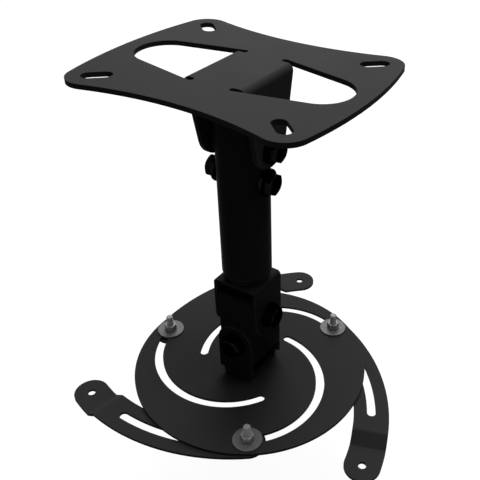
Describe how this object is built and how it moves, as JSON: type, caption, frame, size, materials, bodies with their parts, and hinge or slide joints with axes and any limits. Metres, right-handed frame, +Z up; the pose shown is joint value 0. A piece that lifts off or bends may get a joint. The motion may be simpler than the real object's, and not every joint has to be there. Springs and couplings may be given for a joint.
{
  "type": "projector ceiling mount",
  "caption": "Black steel ceiling mount for a projector: pressed ceiling plate, tilting telescopic column, two-way tilt joint and a swivelling disc with sliding curved arms.",
  "frame": {"origin": "middle of the ceiling plate's top face, which lies on the ceiling", "axes": "+Z up to the ceiling, +X along the ceiling plate's long axis, so the pivot bolt runs along X"},
  "size_m": [0.2209, 0.2257, 0.2374],
  "materials": {
    "satin_black": "fine satin powder coat",
    "gloss_black": "smooth half-gloss powder coat",
    "blackened_steel": "black oxide, oiled",
    "grey_zinc": "dull grey zinc plate",
    "nylon": "moulded black nylon"
  },
  "bodies": {
    "ceiling": {"ceiling_plate": "satin_black", "pivot_bolt": "blackened_steel", "pivot_washers": "blackened_steel", "pivot_nut": "blackened_steel"},
    "column": {"column_tube": "gloss_black", "pivot_saddles": "nylon", "height_bolt": "blackened_steel", "height_washers": "blackened_steel", "height_nut": "blackened_steel"},
    "extension": {"inner_tube": "gloss_black", "tilt_yoke": "gloss_black", "tilt_bolt": "blackened_steel", "tilt_washer": "blackened_steel", "tilt_nut": "blackened_steel"},
    "gimbal": {"gimbal_box": "gloss_black"},
    "foot": {"foot_clevis": "gloss_black", "roll_bolt": "blackened_steel", "roll_washer": "blackened_steel", "roll_nut": "blackened_steel", "swivel_bolt": "blackened_steel", "swivel_washers": "blackened_steel", "swivel_nut": "blackened_steel"},
    "disc": {"spider_disc": "satin_black"},
    "nut_stack_1": {"clamp_washer_1": "grey_zinc", "clamp_nut_1": "grey_zinc"},
    "screw_1": {"clamp_screw_1": "grey_zinc"},
    "leg_1": {"arm_1": "satin_black"},
    "nut_stack_2": {"clamp_washer_2": "grey_zinc", "clamp_nut_2": "grey_zinc"},
    "screw_2": {"clamp_screw_2": "grey_zinc"},
    "leg_2": {"arm_2": "satin_black"},
    "nut_stack_3": {"clamp_washer_3": "grey_zinc", "clamp_nut_3": "grey_zinc"},
    "screw_3": {"clamp_screw_3": "grey_zinc"},
    "leg_3": {"arm_3": "satin_black"}
  },
  "joints": [
    {"name": "column_tilt", "type": "hinge", "parent": "ceiling", "child": "column", "pos_m": [0, 0, -0.0444], "axis": [1, 0, 0], "range_deg": [-15, 15]},
    {"name": "height_slide", "type": "slide", "parent": "column", "child": "extension", "axis": [0, 0, -1], "range_m": [0, 0.017]},
    {"name": "projector_tilt", "type": "hinge", "parent": "extension", "child": "gimbal", "pos_m": [0, 0, -0.173], "axis": [1, 0, 0], "range_deg": [-15, 15]},
    {"name": "projector_roll", "type": "hinge", "parent": "gimbal", "child": "foot", "pos_m": [0, 0, -0.1945], "axis": [0, 1, 0], "range_deg": [-15, 15]},
    {"name": "swivel", "type": "hinge", "parent": "foot", "child": "disc", "pos_m": [0, 0, -0.227], "axis": [0, 0, 1], "continuous": true},
    {"name": "arm_1_along_disc", "type": "hinge", "parent": "disc", "child": "nut_stack_1", "pos_m": [0.00781, -0.01817, -0.228], "axis": [0, 0, 1], "range_deg": [0, 108]},
    {"name": "arm_1_swing", "type": "hinge", "parent": "nut_stack_1", "child": "screw_1", "pos_m": [0.03998, -0.0618, -0.229], "axis": [0, 0, 1], "range_deg": [-38, 180]},
    {"name": "arm_1_along_own_slot", "type": "hinge", "parent": "screw_1", "child": "leg_1", "pos_m": [-0.03913, 0.0455, -0.23], "axis": [0, 0, 1], "range_deg": [0, 25]},
    {"name": "arm_2_along_disc", "type": "hinge", "parent": "disc", "child": "nut_stack_2", "pos_m": [0.01183, 0.01585, -0.228], "axis": [0, 0, 1], "range_deg": [0, 108]},
    {"name": "arm_2_swing", "type": "hinge", "parent": "nut_stack_2", "child": "screw_2", "pos_m": [0.03353, 0.06552, -0.229], "axis": [0, 0, 1], "range_deg": [-38, 180]},
    {"name": "arm_2_along_own_slot", "type": "hinge", "parent": "screw_2", "child": "leg_2", "pos_m": [-0.01984, -0.05663, -0.23], "axis": [0, 0, 1], "range_deg": [0, 25]},
    {"name": "arm_3_along_disc", "type": "hinge", "parent": "disc", "child": "nut_stack_3", "pos_m": [-0.01964, 0.00232, -0.228], "axis": [0, 0, 1], "range_deg": [0, 108]},
    {"name": "arm_3_swing", "type": "hinge", "parent": "nut_stack_3", "child": "screw_3", "pos_m": [-0.07351, -0.00372, -0.229], "axis": [0, 0, 1], "range_deg": [-38, 180]},
    {"name": "arm_3_along_own_slot", "type": "hinge", "parent": "screw_3", "child": "leg_3", "pos_m": [0.05896, 0.01114, -0.23], "axis": [0, 0, 1], "range_deg": [0, 25]}
  ]
}
